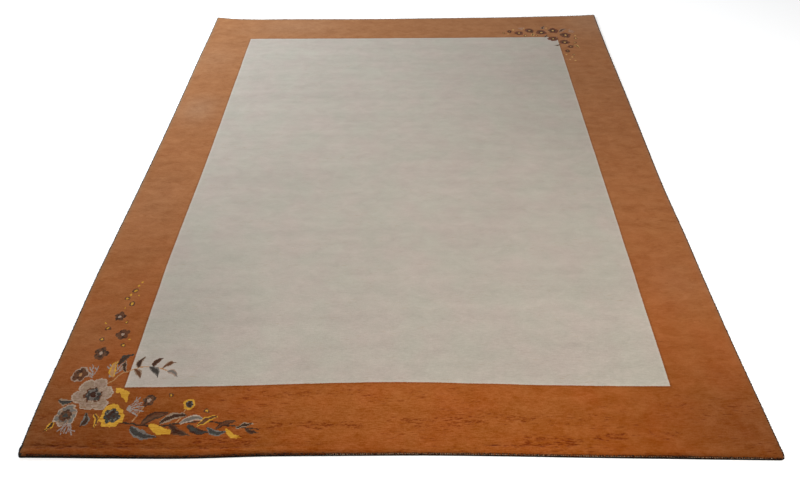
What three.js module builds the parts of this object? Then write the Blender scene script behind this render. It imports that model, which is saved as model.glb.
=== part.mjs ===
// Hand-knotted wool rug of Tibetan kind, 8 by 10 feet, lying flat on the floor.
// X runs across the rug, Y along it and Z up. The origin is on the floor under its middle.
import * as THREE from 'three';

// Driving dimensions, in millimetres
const width = 2438; // 8 feet, over the side cords, before the edges wander
const length = 3048; // 10 feet, over the end tapes
const middleShift = 4.5; // brings the middle of the uneven outline onto the origin
const gap = 0.3; // between neighbouring pieces
const cornerGap = 0.8; // between a cord and the end of a tape, on the curve of a corner

const pile = {
  tips: 14, // floor to the pile's tips
  rimTips: 7, // floor to the tips where the cut edge leans out
  roll: 10, // how far in from its edge the pile rounds over
  swell: 0.9, // rise and dip of the surface, which isn't quite even
  calm: 160, // distance from the edge over which the swell dies out
};
const cord = { wide: 5, high: 5.2, chamfer: 1.3 };
const tape = { wide: 32, thick: 1.2, beadWide: 5, beadHigh: 4.8, chamfer: 1.3 };
const cornerRadius = { frontLeft: 7, frontRight: 16, backLeft: 6, backRight: 8 };

const spacing = 110; // largest step between two stations along an edge
const hair = 1e-6; // two places closer than this are one
const rimStations = [1.5, 3, 5, 7.5, 10.5]; // stations of the rounded rim, in from the pile's edge

// How far each side lies outside a straight line between its corners, by place along Y
const sideBows = [
  { y: -1524, left: 0, right: 3 },
  { y: -1340, left: 7, right: -2 },
  { y: -1100, left: 8, right: -9 },
  { y: -790, left: 12, right: -14 },
  { y: -520, left: 8, right: -15 },
  { y: -200, left: 2, right: -21 },
  { y: 170, left: -2, right: -17 },
  { y: 600, left: -2, right: -12 },
  { y: 1000, left: 0, right: -9 },
  { y: 1300, left: -2, right: -5 },
  { y: 1524, left: 0, right: 0 },
];

// The same for the two ends, by place along X
const endBows = [
  { x: -1219, front: 0, back: 0 },
  { x: -1090, front: 0, back: -24 },
  { x: -940, front: 0, back: -32 },
  { x: -680, front: 0, back: -33 },
  { x: -430, front: -8, back: -37 },
  { x: -170, front: -11, back: -38 },
  { x: 90, front: -13, back: -35 },
  { x: 340, front: -11, back: -32 },
  { x: 590, front: -7, back: -29 },
  { x: 840, front: -4, back: -21 },
  { x: 1090, front: -1, back: -11 },
  { x: 1219, front: 0, back: 0 },
];

const sideEdge = width / 2;
const endEdge = length / 2;
const pileSide = sideEdge - cord.wide - gap; // the pile lies inside the cords
const pileEnd = endEdge - tape.beadWide - gap; // and inside the rounded edge of the tapes
const underStep = { from: tape.wide + gap, to: tape.wide + gap + 0.6 }; // in the underside, over a tape

// A smooth curve through one column of a table of bows
function bowAt(table, key, column, at) {
  let row = 0;
  while (row < table.length - 2 && at > table[row + 1][key]) row += 1;
  const near = table[row];
  const far = table[row + 1];
  const before = table[Math.max(row - 1, 0)];
  const after = table[Math.min(row + 2, table.length - 1)];
  const step = far[key] - near[key];
  const share = THREE.MathUtils.clamp((at - near[key]) / step, 0, 1);
  const slopeNear = ((far[column] - before[column]) / (far[key] - before[key])) * step;
  const slopeFar = ((after[column] - near[column]) / (after[key] - near[key])) * step;
  const rise = far[column] - near[column];
  const bend = share * (1 - share);
  return near[column] + share * share * (3 - 2 * share) * rise
    + bend * ((1 - share) * slopeNear - share * slopeFar);
}

// Draws the points near a square corner in to a round one, ring by ring
function roundCorner(x, y) {
  const end = y < 0 ? 'front' : 'back';
  const radius = cornerRadius[end + (x < 0 ? 'Left' : 'Right')];
  const outX = Math.abs(x) - (sideEdge - radius);
  const outY = Math.abs(y) - (endEdge - radius);
  if (outX <= 0 || outY <= 0) return [x, y];
  const pull = Math.max(outX, outY) / Math.hypot(outX, outY);
  const roundX = sideEdge - radius + outX * pull;
  const roundY = endEdge - radius + outY * pull;
  return [Math.sign(x) * roundX, Math.sign(y) * roundY];
}

// From a place on a straight, square rug to the same place on the uneven one
function place(squareX, squareY) {
  const [x, y] = roundCorner(squareX, squareY);
  const right = x / width + 0.5; // 0 at the left side, 1 at the right
  const back = y / length + 0.5;
  const leftBow = bowAt(sideBows, 'y', 'left', y);
  const rightBow = bowAt(sideBows, 'y', 'right', y);
  const frontBow = bowAt(endBows, 'x', 'front', x);
  const backBow = bowAt(endBows, 'x', 'back', x);
  return [
    x + rightBow * right - leftBow * (1 - right) + middleShift,
    y + backBow * back - frontBow * (1 - back),
  ];
}

// Stations from one edge to the other: the given insets at both edges, even steps between
function stations(edge, insets) {
  const inner = edge - insets[insets.length - 1];
  const steps = Math.ceil((2 * inner) / spacing);
  const low = insets.map((inset) => inset - edge);
  const high = insets.map((inset) => edge - inset).reverse();
  const between = [];
  for (let i = 1; i < steps; i += 1) between.push(-inner + (2 * inner * i) / steps);
  return [...low, ...between, ...high];
}

// A closed solid of upright columns on a grid, each from low(x, y) to high(x, y)
function plate(xs, ys, low, high) {
  const positions = [];
  for (const height of [low, high]) {
    for (const y of ys) {
      for (const x of xs) {
        const [roundX, roundY] = place(x, y);
        positions.push(roundX, roundY, height(x, y));
      }
    }
  }
  const across = xs.length;
  const lid = across * ys.length;
  const faces = [];
  const quad = (a, b, c, d) => faces.push(a, b, c, a, c, d);
  const wall = (a, b) => quad(a, b, b + lid, a + lid);
  for (let j = 0; j < ys.length - 1; j += 1) {
    for (let i = 0; i < across - 1; i += 1) {
      const corner = j * across + i;
      quad(corner, corner + across, corner + across + 1, corner + 1);
      quad(lid + corner, lid + corner + 1, lid + corner + across + 1, lid + corner + across);
    }
    wall((j + 1) * across, j * across);
    wall((j + 1) * across - 1, (j + 2) * across - 1);
  }
  for (let i = 0; i < across - 1; i += 1) {
    wall(i, i + 1);
    wall(lid - across + i + 1, lid - across + i);
  }
  const geometry = new THREE.BufferGeometry();
  geometry.setAttribute('position', new THREE.Float32BufferAttribute(positions, 3));
  geometry.setIndex(faces);
  geometry.computeVertexNormals();
  return geometry;
}

const finishes = {
  pile: { color: 0xb0a89c, roughness: 0.95, metalness: 0 },
  cordYarn: { color: 0x34322f, roughness: 0.9, metalness: 0 },
  tapeCloth: { color: 0x211f1d, roughness: 0.9, metalness: 0 },
};

function piece(name, geometry, finish) {
  const mesh = new THREE.Mesh(geometry, new THREE.MeshStandardMaterial(finish));
  mesh.name = name;
  return mesh;
}

// The pile on its foundation. Its underside steps up over the turned-under part of the tapes.
function makeCarpet() {
  const sideInsets = [0, ...rimStations].map((inset) => sideEdge - pileSide + inset);
  const endInsets = [0, ...rimStations].map((inset) => endEdge - pileEnd + inset);
  const xs = stations(sideEdge, sideInsets);
  const ys = stations(endEdge, [...endInsets, underStep.from, underStep.to]);
  const underside = (x, y) => (endEdge - Math.abs(y) < underStep.to - hair ? tape.thick + gap : 0);
  const top = (x, y) => {
    const inside = Math.min(pileSide - Math.abs(x), pileEnd - Math.abs(y));
    const short = Math.max(1 - inside / pile.roll, 0);
    const rounded = Math.sqrt(Math.max(1 - short * short, 0));
    const wave = Math.sin(x / 410 + y / 900) * Math.cos(y / 360);
    const swell = pile.swell * wave * Math.min(Math.max(inside / pile.calm, 0), 1);
    return pile.rimTips + (pile.tips - pile.rimTips) * rounded + swell;
  };
  return piece('carpet', plate(xs, ys, underside, top), finishes.pile);
}

// An overcast cord along one long edge, flat where it rests, from end to end
function makeSelvage(name, side) {
  const profile = [
    { out: 0, low: cord.chamfer, high: cord.high - cord.chamfer },
    { out: cord.chamfer, low: 0, high: cord.high },
    { out: cord.wide - cord.chamfer, low: 0, high: cord.high },
    { out: cord.wide, low: cord.chamfer, high: cord.high - cord.chamfer },
  ];
  const inner = side * (sideEdge - cord.wide);
  const xs = profile.map(({ out }) => inner + side * out).sort((a, b) => a - b);
  const beadInsets = [0, tape.chamfer, tape.beadWide - tape.chamfer, tape.beadWide];
  const pileInsets = [0, ...rimStations].map((inset) => endEdge - pileEnd + inset);
  const ys = stations(endEdge, [...beadInsets, ...pileInsets, underStep.from, underStep.to]);
  const rowAt = (x) => profile.find(({ out }) => Math.abs(inner + side * out - x) < hair);
  const geometry = plate(xs, ys, (x) => rowAt(x).low, (x) => rowAt(x).high);
  return piece(name, geometry, finishes.cordYarn);
}

// A tape round one short end: a rounded edge beyond the pile, and a flat part turned under it
function makeEndTape(name, end) {
  const turn = 0.1; // the inner side of the rounded edge falls away this steeply
  const profile = [
    { in: 0, high: tape.beadHigh - tape.chamfer },
    { in: tape.chamfer, high: tape.beadHigh },
    { in: tape.beadWide - tape.chamfer, high: tape.beadHigh },
    { in: tape.beadWide - turn, high: tape.beadHigh - tape.chamfer },
    { in: tape.beadWide, high: tape.thick },
    { in: tape.wide, high: tape.thick },
  ];
  const sideStart = cord.wide + cornerGap;
  const rimInsets = rimStations.map((inset) => sideEdge - pileSide + inset);
  const xs = stations(sideEdge, [sideStart, ...rimInsets]);
  const ys = profile.map((row) => end * (endEdge - row.in)).sort((a, b) => a - b);
  const rowAt = (y) => profile.find((row) => Math.abs(end * (endEdge - row.in) - y) < hair);
  const geometry = plate(xs, ys, () => 0, (x, y) => rowAt(y).high);
  return piece(name, geometry, finishes.tapeCloth);
}

const rug = new THREE.Group();
rug.add(makeCarpet());
rug.add(makeSelvage('selvage_left', -1));
rug.add(makeSelvage('selvage_right', 1));
rug.add(makeEndTape('end_tape_front', -1));
rug.add(makeEndTape('end_tape_back', 1));

export default rug;
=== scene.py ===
import math

import bpy
import numpy as np
from mathutils import Matrix, Vector


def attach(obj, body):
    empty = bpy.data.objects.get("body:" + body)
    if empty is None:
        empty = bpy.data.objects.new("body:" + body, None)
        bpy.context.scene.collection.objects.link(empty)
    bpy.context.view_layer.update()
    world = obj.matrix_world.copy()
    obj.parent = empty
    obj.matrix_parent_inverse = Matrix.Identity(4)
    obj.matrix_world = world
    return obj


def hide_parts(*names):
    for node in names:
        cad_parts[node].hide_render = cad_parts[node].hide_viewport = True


# A hand-knotted wool rug of Tibetan kind, 8 by 10 feet, lying on a pale floor.
# It is laid out in millimetres on its square plan, as it was on the loom, and toRoom gives the
# place of each point on the uneven rug, in metres.

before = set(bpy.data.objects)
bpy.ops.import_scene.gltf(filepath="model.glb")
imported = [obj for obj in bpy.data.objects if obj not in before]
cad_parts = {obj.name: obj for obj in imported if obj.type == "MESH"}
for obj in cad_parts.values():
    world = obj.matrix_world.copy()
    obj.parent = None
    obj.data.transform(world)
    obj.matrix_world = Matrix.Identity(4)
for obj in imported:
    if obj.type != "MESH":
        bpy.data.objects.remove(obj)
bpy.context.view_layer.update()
bpy.ops.object.select_all(action="DESELECT")
scene = bpy.context.scene
print("frame loaded:", ", ".join(sorted(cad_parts)))


# Camera, at the photograph's viewing angle

cameraValues = {
    "imageWide": 800,
    "focalPixels": 656.8,
    "middlePixel": 404.0,  # where the lens looks straight on, across the image
    "place": (0.0554, -2.5196, 1.9552),
    "turnDegrees": (45.3515, 0.6537, 0.5093),
    "sensor": 36.0,
}


def addCamera(values):
    data = bpy.data.cameras.new("photoCamera")
    camera = bpy.data.objects.new("photoCamera", data)
    scene.collection.objects.link(camera)
    data.sensor_width = values["sensor"]
    data.lens = values["focalPixels"] * values["sensor"] / values["imageWide"]
    data.shift_x = (values["imageWide"] / 2 - values["middlePixel"]) / values["imageWide"]
    camera.location = values["place"]
    camera.rotation_euler = [math.radians(angle) for angle in values["turnDegrees"]]
    scene.camera = camera


# The rug's plan and its uneven edges

rug = {
    "width": 2438.0,
    "length": 3048.0,
    "middleShift": 4.5,  # brings the middle of the uneven outline onto the origin
    "cordWide": 5.0,
    "cordHigh": 5.2,
    "tapeThick": 1.2,
    "beadWide": 5.0,  # the rounded edge of an end tape
    "gap": 0.3,
    # how far each corner's rounding reaches along the end and the side, and how full it is
    "corners": {
        "frontLeft": (8, 25, 1.12),
        "frontRight": (17, 17, 2),
        "backLeft": (6, 6, 2),
        "backRight": (8, 8, 2),
    },
}
sideEdge, endEdge = rug["width"] / 2, rug["length"] / 2
pileSide = sideEdge - rug["cordWide"] - rug["gap"]
pileEnd = endEdge - rug["beadWide"] - rug["gap"]

# How far each edge lies outside a straight line between its corners
sideBows = {
    "y": (-1524, -1340, -1100, -790, -520, -200, 170, 600, 1000, 1300, 1524),
    "left": (0, 7, 8, 12, 8, 2, -2, -2, 0, -2, 0),
    "right": (3, -2, -9, -14, -15, -21, -17, -12, -9, -5, 0),
}
endBows = {
    "x": (-1219, -1090, -940, -680, -430, -170, 90, 340, 590, 840, 1090, 1219),
    "front": (-1.6, -1.2, 0, 0, -8, -11, -13, -11, -7, -4, -1, 0),
    "back": (0, -24, -32, -33, -37, -38, -35, -32, -29, -21, -11, 0),
}


def smoothTable(at, places, values):
    # a smooth curve through the rows of a table
    places, values = np.array(places, float), np.array(values, float)
    row = np.clip(np.searchsorted(places, at, side="right") - 1, 0, len(places) - 2)
    before, after = np.maximum(row - 1, 0), np.minimum(row + 2, len(places) - 1)
    step = places[row + 1] - places[row]
    share = np.clip((at - places[row]) / step, 0, 1)
    slopeNear = (values[row + 1] - values[before]) / (places[row + 1] - places[before]) * step
    slopeFar = (values[after] - values[row]) / (places[after] - places[row]) * step
    rise = (values[row + 1] - values[row]) * share**2 * (3 - 2 * share)
    bend = share * (1 - share) * ((1 - share) * slopeNear - share * slopeFar)
    return values[row] + rise + bend


def roundCorners(x, y):
    # draws the points near each square corner in to a round one, ring by ring
    x, y = np.array(x, float), np.array(y, float)
    signs = {"frontLeft": (-1, -1), "frontRight": (1, -1), "backLeft": (-1, 1), "backRight": (1, 1)}
    for corner, (alongEnd, alongSide, fullness) in rug["corners"].items():
        signX, signY = signs[corner]
        outX = np.maximum((x * signX - sideEdge) / alongEnd + 1, 0)
        outY = np.maximum((y * signY - endEdge) / alongSide + 1, 0)
        near = (outX > 0) & (outY > 0)
        away = (outX**fullness + outY**fullness) ** (1 / fullness)
        pull = np.maximum(outX, outY) / np.maximum(away, 1e-9)
        x = np.where(near, signX * (sideEdge - alongEnd * (1 - outX * pull)), x)
        y = np.where(near, signY * (endEdge - alongSide * (1 - outY * pull)), y)
    return x, y


def toRoom(x, y, z):
    x, y = roundCorners(x, y)
    right, back = x / rug["width"] + 0.5, y / rug["length"] + 0.5
    leftBow = smoothTable(y, sideBows["y"], sideBows["left"])
    rightBow = smoothTable(y, sideBows["y"], sideBows["right"])
    frontBow = smoothTable(x, endBows["x"], endBows["front"])
    backBow = smoothTable(x, endBows["x"], endBows["back"])
    roomX = x + rightBow * right - leftBow * (1 - right) + rug["middleShift"]
    roomY = y + backBow * back - frontBow * (1 - back)
    return np.stack(np.broadcast_arrays(roomX, roomY, z), axis=-1) / 1000


def lumps(x, y, cell, seed):
    # soft random rises and dips from -1 to 1, about one to each cell
    table = np.random.default_rng(seed).uniform(-1, 1, (256, 256))
    u, v = np.asarray(x) / cell + 512, np.asarray(y) / cell + 512
    column, row = np.floor(u).astype(int), np.floor(v).astype(int)
    across, along = u - column, v - row
    across, along = across**2 * (3 - 2 * across), along**2 * (3 - 2 * along)
    row, nextRow, column, nextColumn = row % 256, (row + 1) % 256, column % 256, (column + 1) % 256
    near = table[row, column] * (1 - across) + table[row, nextColumn] * across
    far = table[nextRow, column] * (1 - across) + table[nextRow, nextColumn] * across
    return near * (1 - along) + far * along


# The pile's surface

pile = {
    "tips": 14.0,  # floor to the pile's tips
    "rimTips": 7.0,
    "roll": 10.0,
    "frontWear": 18.0,  # the front end's cut edge is trodden rounder
    "swell": 0.9,
    "calm": 160.0,
    "rimInsets": (0, 0.8, 2, 3.8, 6.2, 9.5, 14, 20, 27, 34, 42, 50),
    "columns": 155,  # even cells between the rims
    "rows": 196,
    "split": 5,  # a cell with a motif or a crease in it is this many knots each way
    "softLumps": {"high": 0.45, "cell": 46},
    "unevenCut": {"high": 0.28, "cell": 9},
    "frontTrough": {  # the soft trough behind the front edge, with its share of full depth along X
        "inset": 29.0,
        "deep": 2.3,
        "wide": 8.0,
        "x": (-1219, -600, 100, 480, 800, 1219),
        "share": (1.2, 1.0, 0.25, 0.7, 0.35, 0.3),
        "unevenCell": 150,
    },
    "leanReach": 12.0,  # how far in from the front edge the pile leans out
}

# How much of the front tape's rounded edge the pile hides, and how far tufts droop over it
overhang = {
    "x": (-1219, -925, -800, -671, -400, 0, 442, 600, 780, 806, 919, 945, 1130, 1175, 1219),
    "cover": (2.4, 3.0, 4.4, 4.6, 4.4, 5.0, 5.2, 5.0, 4.6, 2.4, 2.4, 5.0, 5.4, 5.8, 5.8),
    "droop": (0, 0, 0, 0, 0, 4, 6, 4, 0, 0, 0, 10, 18, 34, 34),
}

# Painted shade and painted highlight along the rounded front edge, in soft strips: shade down the cut edge,
# on its rounding and in the trough behind it, highlight on the ridge between
frontShadeStrips = {
    "wide": 6.0,
    "strips": [  # inset from the pile's edge, places along X, and the change of tone at each: painted shade below nothing, painted highlight above
        (-3, (-1219, -1000, -742, 323, 1219), (-0.42, -0.4, -0.36, -0.38, -0.42)),
        (4, (-1129, -871, -742, -581, -387, -194, 65, 323, 548, 726, 877, 1023, 1135),
         (-0.12, -0.04, -0.18, -0.18, -0.34, -0.24, -0.1, -0.05, 0, -0.08, -0.26, -0.2, -0.05)),
        (17, (-1129, -871, -742, -581, -387, -194, 65), (0.17, 0.16, 0.14, 0.08, 0.03, -0.02, 0)),
        (29, (-1129, -871, -742, -581, -387, -194, 65, 200, 323, 480),
         (-0.12, -0.03, -0.08, -0.14, -0.12, -0.03, 0, 0, -0.07, 0)),
    ],
}

# Soft creases where the pile parts, near the front end: start and end along X, place along Y, depth
creases = [
    (-1192, -1138, -1485, 2.6),
    (-1140, -1078, -1487, 1.9),
    (-1084, -1046, -1488, 2.3),
    (-1040, -985, -1490, 1.6),
    (-968, -934, -1491, 1.3),
    (-925, -848, -1491, 1.5),
    (-838, -790, -1490, 1.1),
    (-770, -700, -1492, 1.3),
    (276, 332, -1494, 2.4),
    (345, 386, -1491, 1.6),
    (392, 428, -1490, 2.1),
    (434, 470, -1489, 1.4),
    (-178, -116, -1421, 2.1),
    (-236, -190, -1417, 1.6),
    (-330, -286, -1424, 1.5),
]

# Zones with many short ones: left, right, front and back, how many, least and greatest depth
gathers = [
    (-1190, -880, -1497, -1470, 30, 0.8, 1.6),
    (-1185, -960, -1470, -1330, 46, 0.7, 1.3),
    (-880, -672, -1499, -1474, 20, 0.8, 1.5),
    (-672, -474, -1499, -1460, 50, 1.0, 2.1),
    (-560, -380, -1440, -1410, 16, 0.8, 1.4),
    (-446, -117, -1434, -1408, 44, 1.0, 2.1),
    (-620, -92, -1322, -1268, 60, 0.8, 1.7),
    (-40, 250, -1430, -1390, 50, 1.0, 2.1),
    (240, 700, -1418, -1372, 44, 0.7, 1.5),
    (260, 480, -1500, -1484, 14, 0.9, 1.6),
    (320, 440, -1406, -1384, 18, 1.0, 2.0),
    (396, 560, -1488, -1462, 30, 1.1, 2.3),
    (620, 715, -1470, -1444, 24, 1.1, 2.3),
    (740, 890, -1460, -1436, 16, 0.9, 1.8),
    (860, 1190, -1352, -1328, 22, 0.7, 1.4),
]
parting = {
    "shortest": 14,  # of the many short ones
    "longest": 44,
    "wide": 2.3,
    "reach": 9,  # how far from its line a crease is felt
    "furthestBack": -1250,  # no crease lies further back than this
}


def allCreases():
    random = np.random.default_rng(31)
    rows = list(creases)
    for left, right, front, back, count, least, most in gathers:
        for _ in range(count):
            start = random.uniform(left, right)
            end = start + random.uniform(parting["shortest"], parting["longest"])
            rows.append((start, end, random.uniform(front, back), random.uniform(least, most)))
    return rows


creaseRows = allCreases()


def bump(away, wide):
    # a smooth bump, 1 in its middle
    return np.exp(-((away / wide) ** 2))


def creaseDepth(x, y):
    depth = np.zeros(np.broadcast(x, y).shape)
    for number, (start, end, middle, deep) in enumerate(creaseRows):
        near = (x > start) & (x < end) & (np.abs(y - middle) < parting["reach"])
        if not near.any():
            continue
        across, along = x[near], y[near]
        share = (across - start) / (end - start)
        ends = np.clip(4 * share * (1 - share), 0, 1) ** 0.6
        broken = 0.8 + 0.35 * lumps(across, 0 * across, 8, 900 + number)
        line = middle + 2 * lumps(across, 0 * across, 17, 400 + number)
        dip = deep * ends * broken * bump(along - line, parting["wide"])
        depth[near] = np.maximum(depth[near], dip)
    return depth


def pileHeight(x, y):
    inside = np.minimum(pileSide - np.abs(x), pileEnd - np.abs(y))
    short = np.clip(1 - inside / pile["roll"], 0, 1)
    short = np.maximum(short, np.clip(1 - (y + pileEnd) / pile["frontWear"], 0, 1))
    rounded = np.sqrt(1 - short**2)
    wave = np.sin(x / 410 + y / 900) * np.cos(y / 360)
    height = pile["rimTips"] + (pile["tips"] - pile["rimTips"]) * rounded
    height = height + pile["swell"] * wave * np.clip(inside / pile["calm"], 0, 1)
    soft, cut, trough = pile["softLumps"], pile["unevenCut"], pile["frontTrough"]
    height = height + soft["high"] * lumps(x, y, soft["cell"], 7) * np.clip(inside / 20, 0, 1)
    height = height + cut["high"] * lumps(x, y, cut["cell"], 8)
    share = np.interp(x, trough["x"], trough["share"])
    share = share * (0.8 + 0.3 * lumps(x, 0 * x, trough["unevenCell"], 9))
    dip = trough["deep"] * share * bump(y + pileEnd - trough["inset"], trough["wide"])
    return height - dip - creaseDepth(x, y)


def leanOut(x, y):
    # the same place along Y after the pile near the front edge has leaned out over its tape
    cover = np.interp(x, overhang["x"], overhang["cover"])
    lip = 0.75 * cover * np.clip((pileSide - np.abs(x)) / 5, 0, 1)
    return y - lip * np.clip(1 - (y + pileEnd) / pile["leanReach"], 0, 1) ** 1.5


def frontShadeAt(x, fromFront):
    # painted shade and highlight along the front edge, summed from the strips
    change = 0.0
    for inset, places, changes in frontShadeStrips["strips"]:
        change = change + np.interp(x, places, changes) * bump(fromFront - inset, frontShadeStrips["wide"])
    return change


def gridLines(edge, count):
    rim = np.array(pile["rimInsets"], float)
    inner = np.linspace(rim[-1] - edge, edge - rim[-1], count + 1)
    return np.concatenate([rim[:-1] - edge, inner, edge - rim[:-1][::-1]])


pileXs = gridLines(pileSide, pile["columns"])
pileYs = gridLines(pileEnd, pile["rows"])
rimCells = len(pile["rimInsets"]) - 1


# The knot chart: a plain rosette, bud and leaf design in two opposite corners

palette = {  # red, green and blue of the dyed yarns, as seen
    "pale": (168, 146, 128),
    "taupe": (146, 121, 100),
    "rose": (158, 132, 114),
    "grey": (112, 104, 96),
    "charcoal": (62, 56, 50),
    "dark": (64, 42, 29),
    "brown": (96, 60, 38),
    "gold": (198, 146, 48),
    "sand": (172, 126, 84),
    "mist": (146, 132, 124),
    "russet": (116, 66, 46),
    "blush": (166, 128, 104),
    "straw": (204, 158, 92),
}
toneNames = list(palette)

# The rings of each kind of flower, from the outside in: share of its radius, yarn, depth of notch,
# and the yarn of the flecks in it
flowerKinds = {
    "grand": [(1.0, "pale", 0.24, None), (0.93, "taupe", 0.26, "rose"), (0.5, "brown", 0.35, "taupe"),
              (0.4, "charcoal", 0.3, "grey"), (0.16, "dark", 0.0, None)],
    "golden": [(1.0, "gold", 0.14, None), (0.66, "charcoal", 0.24, "grey"),
               (0.42, "dark", 0.3, "charcoal")],
    "grey": [(1.0, "pale", 0.2, None), (0.9, "grey", 0.24, "taupe"), (0.55, "brown", 0.3, "dark"),
             (0.2, "charcoal", 0.0, None)],
    "small": [(1.0, "brown", 0.3, "dark"), (0.26, "rose", 0.0, None)],
    "edged": [(1.0, "rose", 0.2, None), (0.88, "brown", 0.3, "dark"), (0.2, "sand", 0.0, None)],
    "russet": [(1.0, "russet", 0.18, "brown"), (0.62, "brown", 0.3, "dark"), (0.22, "straw", 0.0, None)],
}

nearSpray = {
    "window": (-1176, -420, -1470, -760),  # left, right, front and back
    "fineYarns": ("gold", "mist"),  # of its dots and of its twigs
    "flowers": [  # kind, x, y, radius, petals, turn in degrees
        ("grand", -1040, -1296, 68, 6, 14),
        ("golden", -950, -1378, 43, 7, 40),
        ("grey", -1106, -1378, 40, 6, 20),
        ("edged", -1112, -1216, 31, 5, 8),
        ("small", -1070, -1124, 28, 5, 0),
        ("small", -1016, -1036, 25, 5, 35),
        ("small", -1052, -952, 22, 5, 10),
        ("small", -842, -1318, 23, 5, 25),
        ("golden", -700, -1332, 21, 5, 0),
    ],
    # x, y and radius of small rings and dots
    "rings": [(-1024, -888, 11), (-1050, -862, 9), (-1030, -822, 12), (-1080, -1010, 10),
              (-1000, -1086, 10), (-1086, -1060, 9), (-1018, -980, 8), (-770, -1296, 9), (-636, -1360, 9)],
    "dots": [(-1040, -842, 4), (-1012, -846, 4), (-1022, -796, 5), (-1014, -778, 4), (-1044, -908, 4),
             (-984, -1058, 4), (-1098, -984, 4)],
    "stems": [  # the places they go through, width at the start and the end, yarn
        ([(-1000, -1250), (-960, -1206), (-890, -1180), (-806, -1196)], (5, 3.5), "sand"),
        ([(-916, -1400), (-800, -1416), (-650, -1398), (-540, -1420), (-452, -1432)], (7, 4), "dark"),
        ([(-876, -1400), (-858, -1360), (-846, -1330)], (3.5, 3.5), "sand"),
        ([(-730, -1404), (-716, -1374), (-704, -1346)], (3.5, 3.5), "sand"),
    ],
    "leaves": [  # from the stem to the tip, width, outer and inner yarn
        ((-968, -1270), (-916, -1330), 26, ("gold", "gold")),
        ((-994, -1226), (-996, -1150), 24, ("gold", "sand")),
        ((-990, -1172), (-950, -1124), 22, ("charcoal", "dark")),
        ((-1104, -1322), (-1152, -1318), 24, ("taupe", "charcoal")),
        ((-1040, -1366), (-1046, -1424), 24, ("grey", "dark")),
        ((-1010, -1370), (-1000, -1424), 18, ("gold", "brown")),
        ((-1140, -1400), (-1160, -1438), 18, ("gold", "dark")),
        ((-956, -1204), (-966, -1150), 18, ("taupe", "dark")),
        ((-930, -1190), (-896, -1232), 23, ("taupe", "brown")),
        ((-914, -1184), (-902, -1136), 22, ("taupe", "dark")),
        ((-880, -1180), (-838, -1226), 22, ("grey", "charcoal")),
        ((-866, -1180), (-834, -1142), 20, ("brown", "dark")),
        ((-830, -1188), (-784, -1160), 18, ("taupe", "brown")),
        ((-812, -1196), (-768, -1222), 20, ("rose", "grey")),
    ],
    "twigs": [  # fine pale sprigs: x, y, first angle, last angle, how many, length
        (-1066, -1226, 84, 156, 4, 62),
        (-1004, -1226, 46, 104, 4, 72),
        (-908, -1352, -30, 52, 5, 66),
        (-1084, -1404, 226, 296, 4, 52),
    ],
    # one leafy branch: its start and tip, how many leaves, their length and width at the start and the tip
    "branch": ((-880, -1408), (-500, -1424), 13, (104, 58), (32, 15)),
}

farSpray = {
    "window": (590, 1150, 930, 1440),
    "fineYarns": ("straw", "blush"),  # of its dots and of its twigs
    "flowers": [
        ("russet", 652, 1320, 17, 5, 10),
        ("russet", 708, 1296, 27, 5, 30),
        ("russet", 776, 1324, 30, 5, 0),
        ("russet", 846, 1300, 31, 5, 50),
        ("russet", 922, 1318, 32, 5, 20),
        ("russet", 908, 1214, 31, 5, 44),
        ("russet", 990, 1256, 34, 5, 12),
        ("russet", 972, 1170, 29, 5, 70),
        ("russet", 1000, 1112, 20, 5, 33),
        ("russet", 972, 1060, 16, 5, 5),
    ],
    "rings": [(616, 1302, 9), (742, 1262, 10), (812, 1262, 9), (1046, 1212, 10), (1034, 1160, 9),
              (1004, 1018, 9)],
    "dots": [(640, 1290, 5), (676, 1338, 6), (744, 1352, 5), (884, 1352, 6), (1050, 1250, 6),
             (958, 1020, 6), (990, 988, 6), (974, 962, 5), (1000, 950, 5)],
    "stems": [
        ([(720, 1300), (860, 1310), (980, 1270), (980, 1170), (990, 1080)], (3.5, 3.5), "sand"),
    ],
    "leaves": [
        ((796, 1290), (772, 1252), 17, ("straw", "brown")),
        ((860, 1336), (880, 1384), 20, ("taupe", "brown")),
        ((876, 1268), (852, 1232), 16, ("taupe", "dark")),
        ((958, 1296), (1012, 1340), 22, ("rose", "brown")),
        ((944, 1148), (902, 1128), 16, ("taupe", "dark")),
        ((1016, 1136), (1048, 1092), 16, ("straw", "brown")),
    ],
    "twigs": [
        (1016, 1296, -20, 70, 5, 40),
        (730, 1340, 60, 130, 4, 36),
    ],
}


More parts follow.
